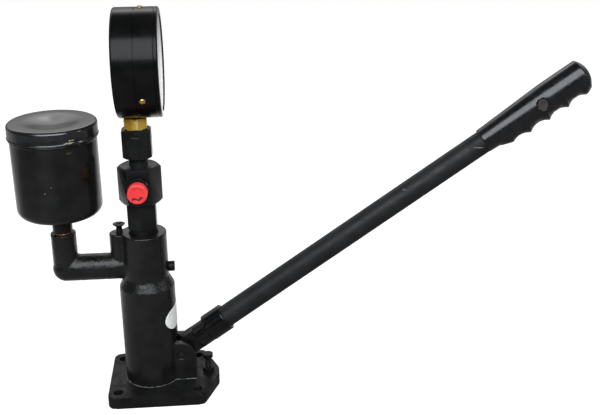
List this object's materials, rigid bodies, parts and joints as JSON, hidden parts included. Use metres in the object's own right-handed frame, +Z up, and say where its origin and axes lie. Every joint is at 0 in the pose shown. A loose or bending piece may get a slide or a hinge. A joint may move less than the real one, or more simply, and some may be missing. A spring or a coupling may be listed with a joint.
{
  "type": "diesel injector tester",
  "caption": "Hand-pumped bench tester for diesel injector nozzles: cast pump column with lever, fuel cup, hexagon outlet block with capped nipple and side-facing pressure gauge.",
  "frame": {"origin": "underside of the base plate, on the pump column's axis", "axes": "+X toward the lever's handle, -Y toward the user and out of the outlet, +Z up the pump column"},
  "size_m": [0.5506, 0.1, 0.3869],
  "materials": {
    "cast_black": "satin black paint over rough casting",
    "black_oxide": "blackened machined steel",
    "tube_paint": "matt charcoal paint with pale scratches",
    "grip_plastic": "gloss black moulded plastic",
    "ground_steel": "ground and hardened",
    "spring_steel": "drawn wire",
    "zinc_steel": "zinc plated",
    "red_plastic": "soft coral-red moulded plastic",
    "copper": "annealed copper",
    "brass": "turned brass",
    "gauge_enamel": "semi-gloss black enamel",
    "cup_enamel": "gloss black enamel on spun sheet",
    "black_rubber": "moulded seal",
    "clear_glass": "clear flat glass",
    "dial_white": "matt white enamel",
    "pointer_black": "matt black",
    "label_paper": "blank coated label"
  },
  "bodies": {
    "stand": {"base_plate": "cast_black", "body_screws": "black_oxide", "pump_body": "cast_black", "label": "label_paper", "pivot_pin": "black_oxide", "stop_nut": "black_oxide", "return_spring": "spring_steel", "pump_barrel": "ground_steel", "locating_screw": "black_oxide", "valve_seat": "ground_steel", "valve_spring": "spring_steel", "valve_holder": "black_oxide", "outlet_block": "black_oxide", "outlet_nipple": "black_oxide", "gauge_nut": "black_oxide", "gauge_washer": "copper", "gauge_socket": "brass", "gauge_case": "gauge_enamel", "gauge_bezel": "gauge_enamel", "bezel_screws": "brass", "gauge_gasket": "black_rubber", "gauge_glass": "clear_glass", "dial_spacer": "dial_white", "gauge_dial": "dial_white", "movement_frame": "brass", "bourdon_tube": "brass", "tube_tip": "brass", "reservoir_cup": "cup_enamel", "reservoir_collar": "black_oxide", "reservoir_washer": "copper", "reservoir_screw": "brass", "strainer": "brass"},
    "lever": {"lever_head": "black_oxide", "handle_tube": "tube_paint", "grip": "grip_plastic", "grip_screw": "black_oxide"},
    "plunger_set": {"plunger": "ground_steel", "tappet": "ground_steel", "spring_plate": "ground_steel"},
    "valve": {"delivery_valve": "ground_steel"},
    "stop": {"stop_bolt": "black_oxide"},
    "bleeder": {"bleed_screw": "zinc_steel"},
    "cap": {"outlet_cap": "red_plastic"},
    "lid": {"reservoir_lid": "cup_enamel"},
    "sector": {"sector_gear": "brass"},
    "link": {"sector_link": "brass"},
    "pointer": {"gauge_pointer": "pointer_black", "pinion": "brass"}
  },
  "joints": [
    {"name": "lever_pump", "type": "hinge", "parent": "stand", "child": "lever", "pos_m": [0.03, 0, 0.039], "axis": [0, 1, 0], "range_deg": [0, 22], "stiffness_Nm_per_rad": 4, "springref_deg": -42.97},
    {"name": "plunger_stroke", "type": "slide", "parent": "stand", "child": "plunger_set", "axis": [0, 0, 1], "range_m": [0, 0.0116], "deforming": ["return_spring"]},
    {"name": "valve_lift", "type": "slide", "parent": "stand", "child": "valve", "axis": [0, 0, 1], "range_m": [0, 0.0012], "stiffness_N_per_m": 400, "springref_m": -0.002, "deforming": ["valve_spring"]},
    {"name": "stop_bolt_turn", "type": "hinge", "parent": "stand", "child": "stop", "pos_m": [0.056, 0, 0.02], "axis": [0, 0, 1], "continuous": true},
    {"name": "bleed_screw_turn", "type": "hinge", "parent": "stand", "child": "bleeder", "pos_m": [-0.023, 0, 0.16], "axis": [0, 0, 1], "continuous": true},
    {"name": "outlet_cap_pull", "type": "slide", "parent": "stand", "child": "cap", "axis": [0, -1, 0], "range_m": [0, 0.03]},
    {"name": "lid_lift", "type": "slide", "parent": "stand", "child": "lid", "axis": [0, 0, 1], "range_m": [0, 0.06]},
    {"name": "sector_swing", "type": "hinge", "parent": "stand", "child": "sector", "pos_m": [0.008, 0, 0.3149], "axis": [1, 0, 0], "range_deg": [0, 36], "stiffness_Nm_per_rad": 0.01, "springref_deg": -11.46},
    {"name": "pointer_sweep", "type": "hinge", "parent": "stand", "child": "pointer", "pos_m": [0.008, 0, 0.3353], "axis": [-1, 0, 0], "range_deg": [0, 270]},
    {"name": "link_swing", "type": "hinge", "parent": "sector", "child": "link", "pos_m": [0.0097, 0.00057, 0.30843], "axis": [1, 0, 0], "range_deg": [-36, 0]}
  ],
  "couplings": [
    {"joint": "plunger_stroke", "follows": "lever_pump", "m_per_rad": 0.029817},
    {"joint": "pointer_sweep", "follows": "sector_swing", "ratio": 7.5},
    {"joint": "link_swing", "follows": "sector_swing", "ratio": -1}
  ]
}
